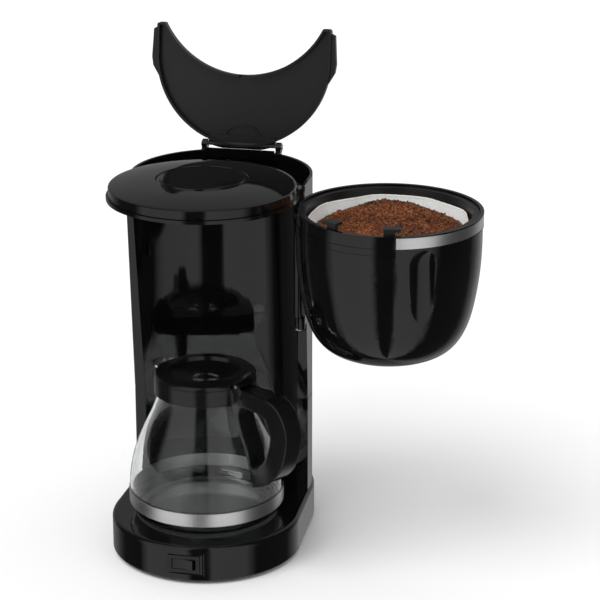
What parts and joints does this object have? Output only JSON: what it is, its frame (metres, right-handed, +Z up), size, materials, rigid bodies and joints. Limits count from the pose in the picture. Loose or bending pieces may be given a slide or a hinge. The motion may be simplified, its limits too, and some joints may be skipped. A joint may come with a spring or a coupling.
{
  "type": "drip coffee maker",
  "caption": "Drip coffee maker with swing-out filter basket, crescent lid over the rear water tank, warming plate and glass carafe with hinged lid.",
  "frame": {"origin": "on the table, on the upright axis shared by the brew head, the closed basket, the warming plate and the carafe", "axes": "+X to the machine's right seen from the front, +Y to the back, +Z up; the front faces -Y"},
  "size_m": [0.3388, 0.2601, 0.4593],
  "materials": {
    "gloss_black": "high gloss",
    "satin_black": "satin",
    "white_plastic": "satin",
    "steel": "brushed",
    "plate_coating": "satin non-stick coat",
    "aluminium": "cast",
    "silicone": "matt",
    "rubber": "matt",
    "glass": "clear polished",
    "paper": "matt",
    "coffee": "granular",
    "copper_wire": "insulated wire"
  },
  "bodies": {
    "machine": {"base_shell": "gloss_black", "bottom_cover": "satin_black", "cover_screws": "steel", "rubber_feet": "rubber", "warming_plate": "plate_coating", "heating_element": "aluminium", "thermostat": "steel", "thermal_fuse": "white_plastic", "tower_shell": "gloss_black", "lid_hinge_pin": "steel", "basket_hinge_pins": "steel", "head_cover": "gloss_black", "shower_head": "satin_black", "riser_tube": "satin_black", "check_valve": "white_plastic", "cold_hose": "silicone", "hot_hose": "silicone", "hose_clips": "steel", "terminal_block": "white_plastic", "wiring": "copper_wire", "cord_gland": "satin_black", "switch_housing": "satin_black"},
    "rocker": {"power_rocker": "satin_black"},
    "tank_lid": {"tank_lid": "satin_black"},
    "basket": {"basket_bowl": "gloss_black", "basket_band": "steel"},
    "insert": {"filter_insert": "satin_black", "paper_filter": "paper", "coffee_grounds": "coffee"},
    "drip_stop": {"drip_valve": "white_plastic", "valve_seal": "rubber", "valve_spring": "steel"},
    "carafe": {"carafe_glass": "glass", "carafe_band": "steel", "carafe_handle": "satin_black", "carafe_lid_pin": "steel"},
    "carafe_lid": {"carafe_lid": "satin_black"}
  },
  "joints": [
    {"name": "tank_lid_hinge", "type": "hinge", "parent": "machine", "child": "tank_lid", "pos_m": [0, 0.1525, 0.3462], "axis": [1, 0, 0], "range_deg": [0, 97]},
    {"name": "basket_swing", "type": "hinge", "parent": "machine", "child": "basket", "pos_m": [0.08, 0.036, 0.3], "axis": [0, 0, -1], "range_deg": [0, 143.8]},
    {"name": "insert_lift", "type": "slide", "parent": "basket", "child": "insert", "axis": [0, 0, -1], "range_m": [-0.15, 0]},
    {"name": "drip_stop_slide", "type": "slide", "parent": "insert", "child": "drip_stop", "axis": [0, 0, 1], "range_m": [0, 0.004], "stiffness_N_per_m": 300, "springref_m": -0.004, "deforming": ["valve_spring"]},
    {"name": "carafe_slide", "type": "slide", "parent": "machine", "child": "carafe", "axis": [0, -0.9995, 0.03], "range_m": [0, 0.2]},
    {"name": "carafe_lid_hinge", "type": "hinge", "parent": "carafe", "child": "carafe_lid", "pos_m": [0.04325, -0.02703, 0.1736], "axis": [0.5299, 0.848, 0], "range_deg": [0, 52]},
    {"name": "power_rocker_tilt", "type": "hinge", "parent": "machine", "child": "rocker", "pos_m": [0, -0.081, 0.019], "axis": [0, 0, 1], "range_deg": [0, 14]}
  ]
}
